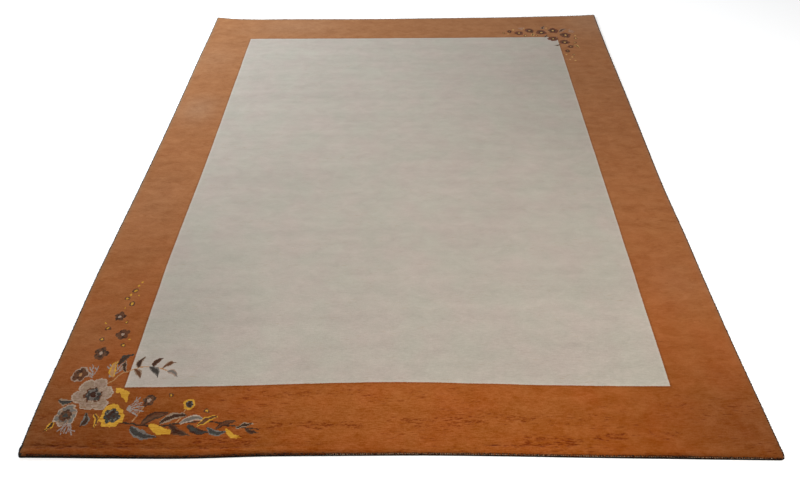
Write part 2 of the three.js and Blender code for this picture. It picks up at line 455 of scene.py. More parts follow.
class KnotChart:
    # the knots of one stretch of the loom, each with the number of its yarn, or -1 for the ground
    def __init__(self, window):
        left, right, front, back = window
        self.columns = slice(np.searchsorted(knotXs, left), np.searchsorted(knotXs, right))
        self.rows = slice(np.searchsorted(knotYs, front), np.searchsorted(knotYs, back))
        x, y = np.meshgrid(knotXs[self.columns], knotYs[self.rows])
        self.x = x + 3.4 * lumps(x, y, 13, 51)  # no line keeps quite to its drawing
        self.y = y + 3.4 * lumps(x, y, 13, 52)
        self.flecks = lumps(x, y, 6.5, 53)
        self.yarns = np.full(x.shape, -1)

    def paint(self, where, yarn):
        self.yarns[where] = toneNames.index(yarn)

    def disc(self, x, y, radius, yarn):
        self.paint(np.hypot(self.x - x, self.y - y) < radius, yarn)

    def flower(self, kind, x, y, radius, petals, turn):
        away = np.hypot(self.x - x, self.y - y)
        angle = np.arctan2(self.y - y, self.x - x) - math.radians(turn)
        petal = np.abs(np.cos(petals * angle / 2))
        lobes = petal**0.55
        uneven = 1 + 0.07 * np.sin(angle * 2 + x) + 0.05 * np.sin(angle * 3 + y)
        for share, yarn, notch, fleck in flowerKinds[kind]:
            where = away < radius * share * uneven * (1 - notch + notch * lobes)
            self.paint(where, yarn)
            if fleck:
                self.paint(where & (self.flecks > 0.22), fleck)
            if kind == "grand" and yarn == "taupe":  # pale lines part its petals
                self.paint(where & (petal < 3.4 / np.maximum(away, 1)), "pale")

    def leaf(self, start, tip, wide, yarns, bend=0.16):
        start, tip = np.array(start, float), np.array(tip, float)
        long = np.linalg.norm(tip - start)
        along = (tip - start) / long
        share = ((self.x - start[0]) * along[0] + (self.y - start[1]) * along[1]) / long
        side = -(self.x - start[0]) * along[1] + (self.y - start[1]) * along[0]
        middle = bend * long * np.sin(np.pi * np.clip(share, 0, 1))
        half = wide / 2 * np.sin(np.pi * np.clip(share, 0, 1) ** 0.8) ** 0.8
        inside = (share > 0) & (share < 1)
        self.paint(inside & (np.abs(side - middle) < half), yarns[0])
        self.paint(inside & (np.abs(side - middle) < half * 0.55), yarns[1])

    def stem(self, through, wide, yarn):
        through = np.array(through, float)
        marks = np.linspace(0, len(through) - 1, 12 * (len(through) - 1) + 1)
        order = np.arange(len(through))
        line = np.stack([smoothTable(marks, order, through[:, k]) for k in (0, 1)], axis=1)
        for number, (a, b) in enumerate(zip(line[:-1], line[1:])):
            half = np.interp(number / len(line), (0, 1), wide) / 2
            step = b - a
            share = ((self.x - a[0]) * step[0] + (self.y - a[1]) * step[1]) / (step @ step)
            share = np.clip(share, 0, 1)
            away = np.hypot(self.x - a[0] - share * step[0], self.y - a[1] - share * step[1])
            self.paint(away < half, yarn)

    def twigs(self, x, y, first, last, count, long, yarn):
        for angle in np.linspace(math.radians(first), math.radians(last), count):
            reach = long * (1 - 0.25 * abs(math.sin(3 * angle)))
            tip = (x + reach * math.cos(angle), y + reach * math.sin(angle))
            self.stem([(x, y), tip], (4.2, 3.6), yarn)
            fork = (x + 0.55 * (tip[0] - x), y + 0.55 * (tip[1] - y))
            aside, length = angle + 0.6, 0.35 * reach
            twig = (fork[0] + length * math.cos(aside), fork[1] + length * math.sin(aside))
            self.stem([fork, twig], (3.6, 3.2), yarn)

    def branch(self, start, tip, count, long, wide):
        # a long leafy branch, its leaves shorter towards the tip
        yarns = [("grey", "charcoal"), ("dark", "brown"), ("gold", "gold"), ("taupe", "dark"),
                 ("brown", "dark"), ("pale", "grey"), ("dark", "charcoal"), ("gold", "brown")]
        for number in range(count):
            share, side = number / (count - 1), 1 if number % 2 else -1
            x = start[0] + (tip[0] - start[0]) * share
            y = start[1] + (tip[1] - start[1]) * share + 9 * math.sin(7.4 * share - 1.2)
            size = long[0] + (long[1] - long[0]) * share
            breadth = wide[0] + (wide[1] - wide[0]) * share
            lean = math.radians(21 + 9 * math.sin(number * 2.1)) * side
            leafTip = (x + size * math.cos(lean), y + size * math.sin(lean))
            self.leaf((x, y), leafTip, breadth, yarns[number % len(yarns)], 0.13 * side)


def drawSpray(spray):
    chart = KnotChart(spray["window"])
    dotYarn, twigYarn = spray["fineYarns"]
    for row in spray["stems"]:
        chart.stem(*row)
    for row in spray["twigs"]:
        chart.twigs(*row, twigYarn)
    if "branch" in spray:
        chart.branch(*spray["branch"])
    for row in spray["leaves"]:
        chart.leaf(*row)
    for row in spray["flowers"]:
        chart.flower(*row)
    for x, y, radius in spray["rings"]:
        chart.disc(x, y, radius, "brown")
        chart.disc(x, y, radius * 0.5, dotYarn)
    for row in spray["dots"]:
        chart.disc(*row, dotYarn)
    return chart


def knotPlaces(lines):
    # the middle of each knot in the even part between the rims
    even = lines[rimCells:-rimCells]
    count = (len(even) - 1) * pile["split"]
    step = (even[-1] - even[0]) / count
    return even[0] + step * (np.arange(count) + 0.5)


knotXs, knotYs = knotPlaces(pileXs), knotPlaces(pileYs)


def drawChart():
    whole = np.full((len(knotYs), len(knotXs)), -1)
    for spray in (nearSpray, farSpray):
        chart = drawSpray(spray)
        whole[chart.rows, chart.columns] = chart.yarns
    return whole


def toLight(colour):
    # from a colour as seen, 0 to 255, to the amount of light
    return [((c / 255 + 0.055) / 1.055) ** 2.4 if c > 10 else c / 255 / 12.92 for c in colour]


# Mesh helpers

def newPiece(name, points, faces, material):
    mesh = bpy.data.meshes.new(name)
    mesh.from_pydata(points.tolist(), [], faces)
    mesh.update()
    piece = bpy.data.objects.new(name, mesh)
    scene.collection.objects.link(piece)
    mesh.materials.append(material)
    return piece


def smooth(piece, degrees):
    bpy.ops.object.select_all(action="DESELECT")
    piece.select_set(True)
    bpy.context.view_layer.objects.active = piece
    bpy.ops.object.shade_smooth_by_angle(angle=math.radians(degrees))
    piece.select_set(False)


def addNumbers(piece, name, values):
    # one number to each point of a piece, which its material reads
    layer = piece.data.attributes.new(name=name, type="FLOAT", domain="POINT")
    layer.data.foreach_set("value", np.asarray(values).astype(np.float32))


def editAll():
    # opens the active piece for editing, with all of it selected
    bpy.ops.object.mode_set(mode="EDIT")
    bpy.ops.mesh.select_all(action="SELECT")


def unit(vectors):
    return vectors / np.linalg.norm(vectors, axis=1, keepdims=True)


def joinedCopies(name, pattern, turns, places, material):
    # one mesh of many copies of a piece that was modelled once; the pattern is deleted
    corners = np.array([vertex.co for vertex in pattern.data.vertices])
    points = np.einsum("nij,vj->nvi", turns, corners) + places[:, None, :]
    shapes = [tuple(face.vertices) for face in pattern.data.polygons]
    starts = range(0, len(corners) * len(places), len(corners))
    faces = [tuple(start + corner for corner in shape) for start in starts for shape in shapes]
    bpy.data.objects.remove(pattern)
    return newPiece(name, points.reshape(-1, 3), faces, material)


def tubeFaces(rings, count, flip=False):
    # the faces of a closed section that runs along a row of rings, and of its two ends
    faces = []
    for start in range(0, (rings - 1) * count, count):
        for k in range(count):
            after = (k + 1) % count
            faces.append((start + k, start + after, start + count + after, start + count + k))
    last = (rings - 1) * count
    faces += [tuple(range(count))[::-1], tuple(range(last, last + count))]
    return [face[::-1] for face in faces] if flip else faces


# The pile, one knotted sheet: coarse cells, with single knots where a motif or a crease lies

def fineCells(chart):
    split, shape = pile["split"], (len(pileYs) - 1, len(pileXs) - 1)
    fine = np.zeros(shape, bool)
    rows, columns = chart.shape[0] // split, chart.shape[1] // split
    motif = (chart >= 0).reshape(rows, split, columns, split).any(axis=(1, 3))
    fine[rimCells:-rimCells, rimCells:-rimCells] = motif
    middleX, middleY = (pileXs[:-1] + pileXs[1:]) / 2, (pileYs[:-1] + pileYs[1:]) / 2
    near = middleY < parting["furthestBack"]
    x, y = np.meshgrid(middleX, middleY[near])
    deepest = np.zeros(x.shape)
    for shiftX in (-5, 0, 5):
        for shiftY in (-6, -3, 0, 3, 6):
            deepest = np.maximum(deepest, creaseDepth(x + shiftX, y + shiftY))
    fine[near] |= deepest > 0.45
    fine[:3] = fine[-3:] = False
    fine[:, :3] = fine[:, -3:] = False
    return fine


def knotGrid(chart):
    # the sheet's points on the plan, its faces, and the yarn of each face
    fine, split, across = fineCells(chart), pile["split"], len(pileXs)
    gridX, gridY = np.meshgrid(pileXs, pileYs)
    plan = list(zip(gridX.ravel().tolist(), gridY.ravel().tolist()))
    middles = {}

    def between(a, b):
        if (a, b) not in middles:
            (ax, ay), (bx, by) = plan[a], plan[b]
            made = list(range(len(plan), len(plan) + split - 1))
            plan.extend((ax + (bx - ax) * k / split, ay + (by - ay) * k / split) for k in range(1, split))
            middles[a, b] = made
        return middles[a, b]

    faces, yarns = [], []
    for row, column in np.argwhere(fine):
        a = int(row * across + column)
        b, c, d = a + 1, a + across + 1, a + across
        front, back = [a, *between(a, b), b], [d, *between(d, c), c]
        left, right = [a, *between(a, d), d], [b, *between(b, c), c]
        inner = [[left[k], *between(left[k], right[k]), right[k]] for k in range(1, split)]
        table = [front, *inner, back]
        knotRow, knotColumn = (row - rimCells) * split, (column - rimCells) * split
        for k in range(split):
            for m in range(split):
                faces.append((table[k][m], table[k][m + 1], table[k + 1][m + 1], table[k + 1][m]))
                inChart = knotRow >= 0 and 0 <= knotColumn < chart.shape[1] - m
                yarns.append(chart[knotRow + k, knotColumn + m] if inChart else -1)
    for row, column in np.argwhere(~fine):
        a = int(row * across + column)
        b, c, d = a + 1, a + across + 1, a + across
        ring = [a, *middles.get((a, b), ()), b, *middles.get((b, c), ()), c,
                *reversed(middles.get((d, c), ())), d, *reversed(middles.get((a, d), ()))]
        faces.append(tuple(ring))
        yarns.append(-1)
    return np.array(plan), faces, yarns


def underHeight(y):
    # the pile lies on the tapes near the ends, and on the floor elsewhere
    over = pileEnd - np.abs(y) < pile["rimInsets"][-1] + 1
    return np.where(over, rug["tapeThick"] + rug["gap"], 0.0)


def addPile(material):
    chart = drawChart()
    plan, faces, yarns = knotGrid(chart)
    across, along = len(pileXs), len(pileYs)
    heights = pileHeight(plan[:, 0], plan[:, 1])
    # the cut edge goes down to the foundation, and strips close the underside
    sides = {
        "front": list(range(across)),
        "right": [row * across + across - 1 for row in range(along)],
        "back": [(along - 1) * across + column for column in range(across)],
        "left": [row * across for row in range(along)],
    }
    loop = sides["front"][:-1] + sides["right"][:-1] + sides["back"][:0:-1] + sides["left"][:0:-1]
    edge = plan[loop]
    low = underHeight(edge[:, 1])
    start, count = len(plan), len(loop)
    levels = [low + (heights[loop] - low) * share for share in (0.76, 0.7, 0)]
    leaned = [leanOut(plan[:, 0], plan[:, 1]), leanOut(edge[:, 0], edge[:, 1]), edge[:, 1], edge[:, 1]]
    # the strips of painted shade go on down the cut edge
    fromFront = [plan[:, 1] + pileEnd, *(edge[:, 1] + pileEnd - down for down in (2, 4, 6))]
    plan = np.concatenate([plan, edge, edge, edge])
    heights = np.concatenate([heights, *levels])
    rings = [loop] + [list(range(start + k * count, start + (k + 1) * count)) for k in range(3)]
    for upper, lower in zip(rings[:-1], rings[1:]):
        for k in range(count):
            after = (k + 1) % count
            faces.append((upper[after], upper[k], lower[k], lower[after]))
    under = dict(zip(loop, rings[3]))
    left, right = [under[k] for k in sides["left"]], [under[k] for k in sides["right"]]
    front, back = [under[k] for k in sides["front"]], [under[k] for k in sides["back"]]
    reach = rimCells  # so far in that the ends' bows don't matter
    faces.append((*left[reach:0:-1], *front, *right[1:reach + 1]))
    for row in range(reach, along - reach - 1):
        faces.append((left[row + 1], left[row], right[row], right[row + 1]))
    faces.append((*right[-reach - 1:-1], *reversed(back), *left[-2:-reach - 2:-1]))
    yarns += [-1] * (len(faces) - len(yarns))
    piece = newPiece("pileSheet", toRoom(plan[:, 0], np.concatenate(leaned), heights), faces, material)
    # each knot's yarn goes with its face; the ground has none
    table = np.array([[*toLight(palette[name]), 1.0] for name in toneNames] + [[0.0, 0.0, 0.0, 0.0]])
    sizes = [len(face) for face in faces]
    colours = np.repeat(table[np.array(yarns)], sizes, axis=0)
    layer = piece.data.color_attributes.new(name="knotYarn", type="FLOAT_COLOR", domain="CORNER")
    layer.data.foreach_set("color", colours.astype(np.float32).ravel())
    # the creases' depth, which the wool also reads as painted shade
    creased = plan[:, 1] < parting["furthestBack"]
    addNumbers(piece, "parting", creaseDepth(plan[:, 0], plan[:, 1]) * creased)
    addNumbers(piece, "fromRim", np.minimum(pileSide - np.abs(plan[:, 0]), pileEnd - plan[:, 1]))
    addNumbers(piece, "frontShading", frontShadeAt(plan[:, 0], np.concatenate(fromFront)))
    smooth(piece, 50)
    print("pile sheet:", len(faces), "faces,", sum(size - 2 for size in sizes), "triangles")
    return piece


# Tufts that lean out of the cut edge, all round

tufts = {
    # inset of each row's roots from the pile's edge, their height and spacing, and how far the tufts
    # lean, least and most, at the ends and along the sides
    "rows": [
        {"inset": 0.8, "height": 5.7, "apart": 1.7, "ends": (80, 92), "sides": None},
        {"inset": 1.6, "height": 6.0, "apart": 2.5, "ends": (30, 66), "sides": (4, 34)},
        {"inset": 3.4, "height": 8.6, "apart": 2.5, "ends": (24, 60), "sides": (8, 44)},
    ],
    "long": 6.2,
    "thick": 1.3,
    "cornerBare": 28,  # none beside the folded tape of the front left corner
}


def edgePath(inset, spacing):
    # points round the pile's edge, at an inset from it
    halfX, halfY = pileSide - inset, pileEnd - inset
    corners = [(-halfX, -halfY), (halfX, -halfY), (halfX, halfY), (-halfX, halfY), (-halfX, -halfY)]
    points = []
    for (ax, ay), (bx, by) in zip(corners[:-1], corners[1:]):
        steps = int(math.hypot(bx - ax, by - ay) / spacing)
        share = (np.arange(steps) + 0.5) / steps
        points.append(np.stack([ax + (bx - ax) * share, ay + (by - ay) * share], axis=1))
    return np.concatenate(points)


def modelTuft():
    # a short three-sided tuft, thinner and a little to one side at its tip
    thick, long = tufts["thick"] / 1000, tufts["long"] / 1000
    bpy.ops.mesh.primitive_cylinder_add(vertices=3, radius=thick, depth=long * 0.5,
                                        end_fill_type="NOTHING", location=(0, 0, long * 0.25))
    tuft = bpy.context.object
    bpy.ops.object.transform_apply(location=True, rotation=True, scale=True)
    bpy.ops.object.mode_set(mode="EDIT")
    bpy.ops.mesh.select_all(action="DESELECT")
    bpy.ops.object.mode_set(mode="OBJECT")
    for vertex in tuft.data.vertices:
        vertex.select = vertex.co.z > long * 0.4
    for edge in tuft.data.edges:
        edge.select = all(tuft.data.vertices[k].select for k in edge.vertices)
    bpy.ops.object.mode_set(mode="EDIT")
    bpy.ops.mesh.extrude_edges_move(TRANSFORM_OT_translate={"value": (thick * 0.5, 0, long * 0.45)})
    bpy.ops.transform.resize(value=(0.65, 0.65, 1))
    bpy.ops.mesh.edge_face_add()
    bpy.ops.object.mode_set(mode="OBJECT")
    return tuft


def tuftRow(row, random):
    # how each tuft of a row stands, where it is rooted, and its painted shade at the front
    plan = edgePath(row["inset"], row["apart"])
    atEnd = np.abs(plan[:, 1]) > pileEnd - row["inset"] - 0.01
    atFront = atEnd & (plan[:, 1] < 0)
    least, most = row["ends"]
    leaned = leanOut(plan[:, 0], plan[:, 1])
    # at the front they stop above the tape's outer edge, less far out where more of it shows
    shown = 4.6 - np.interp(plan[:, 0], overhang["x"], overhang["cover"])
    room = leaned + endEdge - np.clip(shown, 0.2, 2)
    reach = room / (tufts["long"] * math.sin(math.radians(min((least + most) / 2, 90))))
    reach = np.where(atFront, np.clip(reach, 0.2, 1), 1 if row["sides"] else 0.7)
    fromCorner = np.maximum(plan[:, 0] + pileSide, plan[:, 1] + pileEnd)
    kept = (fromCorner > tufts["cornerBare"]) & (atEnd | (row["sides"] is not None))
    plan, leaned, atEnd, atFront, reach = (part[kept] for part in (plan, leaned, atEnd, atFront, reach))
    count = len(plan)
    sides = row["sides"] or row["ends"]
    least, most = (np.where(atEnd, row["ends"][k], sides[k]) for k in (0, 1))
    droop = np.interp(plan[:, 0], overhang["x"], overhang["droop"]) * atFront
    least, most = least + droop, most + droop
    spread = random.uniform(-0.8, 0.8, plan.shape)
    height = row["height"] + random.uniform(-0.9, 0.9, count)
    roots = toRoom(plan[:, 0] + spread[:, 0], leaned + spread[:, 1], height)
    frontShades = frontShadeAt(plan[:, 0], row["inset"] - 1.5) * atFront
    ahead = np.roll(roots, -3, axis=0) - np.roll(roots, 3, axis=0)
    ahead[:, 2] = 0
    ahead = unit(ahead)
    outward = np.stack([ahead[:, 1], -ahead[:, 0], np.zeros(count)], axis=1)
    lean = np.radians(least + (most - least) * random.uniform(0, 1, count))[:, None]
    axis = outward * np.sin(lean) + np.array([0, 0, 1]) * np.cos(lean)
    axis = unit(axis + ahead * random.uniform(-0.35, 0.35, (count, 1)))
    side = unit(np.cross(axis, ahead))
    spin = random.uniform(0, 2 * np.pi, (count, 1))
    first = side * np.cos(spin) + np.cross(axis, side) * np.sin(spin)
    second = np.cross(axis, first)
    size = random.uniform(0.8, 1.15, (count, 1))
    turns = np.stack([first * size, second * size, axis * size * reach[:, None]], axis=2)
    return turns, roots, frontShades


def addTufts(material):
    tuft, random = modelTuft(), np.random.default_rng(5)
    rows = [tuftRow(row, random) for row in tufts["rows"]]
    turns, roots, frontShades = (np.concatenate(part) for part in zip(*rows))
    piece = joinedCopies("rimTufts", tuft, turns, roots, material)
    # the front tufts carry the same painted shade as the pile's edge
    addNumbers(piece, "frontShading", np.repeat(frontShades, len(piece.data.vertices) // len(frontShades)))
    return piece


# The overcast cords along the two sides

wraps = {
    "apart": 3.2,
    "strand": 0.95,
    "widen": 2.1,  # each wrap is this many times as wide as its strand is high
    "slantDegrees": 20,
    "endGap": 2.0,  # from the end of the rug to the first wrap
}


def addSelvage(name, side, material):
    strand = wraps["strand"] / 1000
    radius = rug["cordHigh"] / 2000 - strand
    bpy.ops.mesh.primitive_torus_add(major_segments=10, minor_segments=5, major_radius=radius,
                                     minor_radius=strand, rotation=(math.pi / 2, 0, 0))
    wrap = bpy.context.object
    bpy.ops.object.transform_apply(location=True, rotation=True, scale=True)
    editAll()
    bpy.ops.transform.resize(value=(1, wraps["widen"], 1))
    bpy.ops.object.mode_set(mode="OBJECT")
    length = rug["length"] - 2 * wraps["endGap"]
    count = int(length / wraps["apart"])
    along = (np.arange(count) + 0.5) / count * length - (endEdge - wraps["endGap"])
    middle = np.full(count, side * (sideEdge - rug["cordWide"] / 2))
    places = toRoom(middle, along, np.full(count, rug["cordHigh"] / 2))
    random = np.random.default_rng(11 + side)
    ahead = np.gradient(places, axis=0)
    heading = np.arctan2(-ahead[:, 0], ahead[:, 1])
    slant = heading + np.radians(wraps["slantDegrees"] + random.uniform(-3, 3, count))
    size = random.uniform(0.96, 1.0, count)
    turns = np.zeros((count, 3, 3))
    turns[:, 0, 0], turns[:, 0, 1] = np.cos(slant) * size, -np.sin(slant)
    turns[:, 1, 0], turns[:, 1, 1] = np.sin(slant) * size, np.cos(slant)
    turns[:, 2, 2] = size
    piece = joinedCopies(name, wrap, turns, places, material)
    smooth(piece, 80)
    return piece


# The hem tapes round the two ends, and the pale stitches that hold them

tape = {
    "stations": 560,
    # inset and height of its section
    "outline": ((0, 0.2), (0, 3.2), (0.5, 4.2), (1.5, 4.8), (3.4, 4.8), (4.5, 4.1), (4.95, 1.4), (5.4, 1.2),
                (31.6, 1.2), (32, 0.6), (31.6, 0.0), (0.6, 0.0)),
    "ripple": 0.22,
    "cornerGap": 0.8,
}


def addEndTape(name, end, material):
    reach = sideEdge - rug["cordWide"] - tape["cornerGap"]
    stations = np.linspace(-reach, reach, tape["stations"])
    outline = np.array(tape["outline"])
    x, inset = np.meshgrid(stations, outline[:, 0], indexing="ij")
    height = np.broadcast_to(outline[:, 1], x.shape).copy()
    bead = (outline[:, 0] < 4.6) & (outline[:, 1] > 1)
    height[:, bead] -= tape["ripple"] * (1 + lumps(x[:, bead], 0 * x[:, bead], 13, 21 + end))
    points = toRoom(x.ravel(), end * (endEdge - inset.ravel()), height.ravel())
    piece = newPiece(name, points, tubeFaces(len(stations), len(outline), end > 0), material)
    smooth(piece, 55)
    return piece


# Where the front tape is folded up round the left corner

fold = {
    # inset and height of its section, from the floor outside to the floor inside
    "outline": ((0.2, 0.1), (-0.6, 1.6), (-0.8, 4.2), (-0.2, 7.0), (1.0, 10.0), (3.0, 12.2), (5.6, 13.2),
                (8.0, 13.4), (9.6, 12.6), (9.8, 5.0), (3.0, 1.8)),
    "front": (10, 8, 6, 4, 2.4, 1.2, 0.4, 0),  # distances from the corner, along the front
    "side": (0.4, 1.2, 2.4, 4, 7, 10, 14, 18, 22, 26, 30, 33),
    "taper": (0.55, 0.88, 1.0),  # size of the section at its two ends, one step in, and further on
}


def addCornerFold(name, material):
    outline = np.array(fold["outline"])
    middle = outline.mean(axis=0)
    stations = [(-1, away) for away in fold["front"]] + [(1, away) for away in fold["side"]]
    rings = []
    for number, (leg, away) in enumerate(stations):
        fromEnd = min(number, len(stations) - 1 - number)
        fullness = fold["taper"][min(fromEnd, 2)]
        section = middle + (outline - middle) * fullness + 0.25 * lumps(outline * 3, number * 5.0, 7, 61)
        inset, height = section[:, 0], np.maximum(section[:, 1], 0.1)
        nearCorner = inset + away
        x = -sideEdge + (nearCorner if leg < 0 else inset)
        y = -endEdge + (inset if leg < 0 else nearCorner)
        rings.append(toRoom(x, y, height))
    piece = newPiece(name, np.concatenate(rings), tubeFaces(len(rings), len(outline)), material)
    bpy.context.view_layer.objects.active = piece
    piece.select_set(True)
    editAll()
    bpy.ops.mesh.normals_make_consistent(inside=False)
    bpy.ops.object.mode_set(mode="OBJECT")
    smooth(piece, 60)
    return piece


stitches = {
    "apart": 7.0,
    "long": 5.6,
    "thick": 0.95,
    "slantDegrees": (18, 52),
    "tiltDegrees": 38,
    "front": {"from": -226, "to": 1173, "inset": 2.3, "height": 8.3},  # elsewhere the pile hides them
    "back": {"from": -1199, "to": 1199, "inset": 4.4, "height": 6.4},
}


def addStitches(name, end, material):
    thick, long = stitches["thick"] / 1000, stitches["long"] / 1000
    bpy.ops.mesh.primitive_uv_sphere_add(segments=6, ring_count=5, radius=thick)
    stitch = bpy.context.object
    editAll()
    bpy.ops.transform.resize(value=(1, 1, long / thick / 2))
    bpy.ops.transform.rotate(value=math.pi / 2, orient_axis="X", center_override=(0, 0, 0))
    bpy.ops.object.mode_set(mode="OBJECT")
    for vertex in stitch.data.vertices:  # its two ends go down into the cloth
        vertex.co.z -= 0.35 * thick * (2 * vertex.co.y / long) ** 2 * 4
    random = np.random.default_rng(17 + end)
    row = stitches["front" if end < 0 else "back"]
    count = int((row["to"] - row["from"]) / stitches["apart"])
    x = np.linspace(row["from"], row["to"], count) + random.uniform(-1.4, 1.4, count)
    lower = 1.2 * np.clip(5 - np.interp(x, overhang["x"], overhang["cover"]), 0, 3) * (end < 0)
    inset = row["inset"] + lower * 0.5 + random.uniform(-0.4, 0.4, count)
    places = toRoom(x, end * (endEdge - inset), row["height"] - lower * 0.4)
    slant = np.radians(random.uniform(*stitches["slantDegrees"], count)) + math.pi / 4
    tilted = Matrix.Rotation(np.radians(stitches["tiltDegrees"]) * -end, 3, "X")
    turns = np.stack([np.array(Matrix.Rotation(angle, 3, "Z") @ tilted) for angle in slant])
    piece = joinedCopies(name, stitch, turns, places, material)
    smooth(piece, 80)
    return piece


# Materials

class Wire:
    # a socket that can be used in sums
    def __init__(self, finish, socket):
        self.finish, self.socket = finish, socket

    def maths(self, operation, *others):
        inputs = dict(enumerate((self, *others)))
        return self.finish.wire(self.finish.node("ShaderNodeMath", {"operation": operation}, inputs))

    def __add__(self, other):
        return self.maths("ADD", other)

    def __sub__(self, other):
        return self.maths("SUBTRACT", other)

    def __rsub__(self, other):
        return self.maths("MULTIPLY_ADD", -1.0, other)

    def __mul__(self, other):
        return self.maths("MULTIPLY", other)

    def __truediv__(self, other):
        return self.maths("DIVIDE", other)

    def __gt__(self, other):
        return self.maths("GREATER_THAN", other)

    __radd__, __rmul__ = __add__, __mul__


class Finish:
    # one material: its shader's constant values, and the nodes that are added to it
    def __init__(self, name, constants):
        self.material = bpy.data.materials.new(name)
        self.material.use_nodes = True
        tree = self.material.node_tree
        self.nodes, self.links = tree.nodes, tree.links
        self.shader = next(node for node in tree.nodes if node.type == "BSDF_PRINCIPLED")
        for socket, value in constants.items():
            self.shader.inputs[socket].default_value = value

    def feed(self, socket, value):
        if isinstance(value, Wire):
            self.links.new(value.socket, socket)
        else:
            socket.default_value = value

    def node(self, kind, settings=None, inputs=None):
        made = self.nodes.new(kind)
        for setting, value in (settings or {}).items():
            setattr(made, setting, value)
        for socket, value in (inputs or {}).items():
            self.feed(made.inputs[socket], value)
        return made

    def wire(self, node, output=0):
        return Wire(self, node.outputs[output])

    def place(self):
        return self.wire(self.node("ShaderNodeTexCoord"), "Object")

    def parts(self, vector):
        node = self.node("ShaderNodeSeparateXYZ", None, {0: vector})
        return [self.wire(node, k) for k in range(3)]

    def join(self, x, y, z):
        return self.wire(self.node("ShaderNodeCombineXYZ", None, {0: x, 1: y, 2: z}))

    def attribute(self, name, output="Fac"):
        return self.wire(self.node("ShaderNodeAttribute", {"attribute_name": name}), output)

    def vectors(self, operation, inputs):
        return self.wire(self.node("ShaderNodeVectorMath", {"operation": operation}, inputs))

    def times(self, vector, by):
        return self.vectors("MULTIPLY", {0: vector, 1: by})

    def brighten(self, colour, by):
        return self.vectors("SCALE", {0: colour, "Scale": by})

    def noise(self, vector, scale, detail=2.0, rough=0.5, warp=0.0):
        inputs = {"Vector": vector, "Scale": scale, "Detail": detail, "Roughness": rough,
                  "Distortion": warp}
        return self.wire(self.node("ShaderNodeTexNoise", None, inputs))

    def soften(self, value, low, high, toLow=0.0, toHigh=1.0):
        inputs = {0: value, 1: low, 2: high, 3: toLow, 4: toHigh}
        return self.wire(self.node("ShaderNodeMapRange", {"interpolation_type": "SMOOTHSTEP"}, inputs))

    def mix(self, share, first, second):
        inputs = {0: share, 6: first, 7: second}
        return self.wire(self.node("ShaderNodeMix", {"data_type": "RGBA"}, inputs), 2)

    def bump(self, height, strength, distance):
        inputs = {"Strength": strength, "Distance": distance, "Height": height}
        self.feed(self.shader.inputs["Normal"], self.wire(self.node("ShaderNodeBump", None, inputs)))

    def coat(self, colour, rough):
        self.feed(self.shader.inputs["Base Color"], colour)
        self.feed(self.shader.inputs["Roughness"], rough)


wool = {
    "light": 1.2,  # how much brighter the lit rug looks than its yarns' own tones
    "knot": 0.003,  # metres, as all places and widths here
    "borderOrange": (154, 76.5, 22.5),
    "borderTan": (151, 81, 26.5),
    # the border's tone further back, paler with painted sheen
    "borderFarSheen": (159.5, 106, 65.5),
    # the tone that painted sheen lifts the border towards
    "borderSheenTone": (168, 128, 96),
    "fieldGreen": (178, 171, 157),
    "fieldPink": (181, 168, 156.5),
    "fieldEdges": {"left": -0.9415, "right": 0.9335, "front": -1.2645, "back": 1.219, "frontSlope": 0.0039},
    "edgeWander": 0.0032,
    "edgeFuzz": 0.0028,
    "leftBow": {"deep": -0.0085, "middle": -0.66, "wide": 0.42},
    "frontBow": {"deep": 0.018, "middle": -0.02, "wide": 0.48},
    "rim": {"middle": 0.004, "wide": 0.0045, "paler": 0.08},  # the field's outermost knots
    "grooveShade": {"middle": -0.0035, "wide": 0.003, "darker": 0.22},  # and painted shade, as of a groove, on the border's line beside them
    # fine patterns: how often they repeat along X, Y and Z, detail, roughness and warp
    "patterns": {
        "bands": ((0.6, 15.0, 0.0), 3.0),
        "naps": ((14.0, 27.0, 13.0), 2.5, 0.6, 0.5),
        "weave": ((46.0, 250.0, 60.0), 3.0, 0.7, 0.2),
        "flecks": ((75.0, 190.0, 60.0), 2.0, 0.5),
        "dashes": ((30.0, 210.0, 1.0), 2.0, 0.6, 0.35),
        "gathered": ((3.0, 15.0, 1.0), 2.0, 0.6),
        "pepper": ((120.0, 280.0, 1.0), 2.0, 0.6),
        "wander": ((7.0, 7.0, 0.0), 2.0),
    },
    "dashShade": [0.6, 0.36, 0.0, 1.0],
    # places where shade is painted into the border, darkest at its front corners and lighter at its front
    # middle: middle along X and Y, half width and length, how much
    "borderShade": [
        (-1.15, -1.52, 0.65, 0.32, 0.4),
        (1.22, -1.46, 0.42, 0.26, 0.36),
        (0.0, -1.33, 0.6, 0.11, -0.1),
    ],
    "paintedSheen": [  # where a paler sheen is painted into the border
        (-1.09, 0.45, 0.1, 0.12, 0.5),
        (-1.1, -0.3, 0.12, 0.22, 0.12),
        (-1.12, 0.98, 0.15, 0.16, 0.22),
        (-0.68, 1.38, 0.3, 0.12, 0.32),
        (1.17, 1.44, 0.16, 0.2, 0.45),
        (1.1, -0.8, 0.12, 0.15, 0.13),
        (-1.13, -1.05, 0.12, 0.12, 0.1),
    ],
    "rugShade": [  # and where shade is painted over the whole rug
        (-1.0, -0.92, 0.36, 0.42, 0.12),
        (0.95, 0.65, 0.55, 0.85, 0.12),
    ],
}
white = [1.0, 1.0, 1.0, 1.0]


def yarnTone(colour):
    # the tone of a yarn that looks like this colour once it is lit
    return [*(c / wool["light"] for c in toLight(colour)), 1.0]


def bell(at, middle, wide):
    # the same as bump, in nodes
    away = (at - middle) / wide
    return (away * away * -1.0).maths("EXPONENT")


def dimness(x, y, places):
    share = 1.0
    for middleX, middleY, wide, long, deep in places:
        share = (1.0 - bell(x, middleX, wide) * bell(y, middleY, long) * deep) * share
    return share


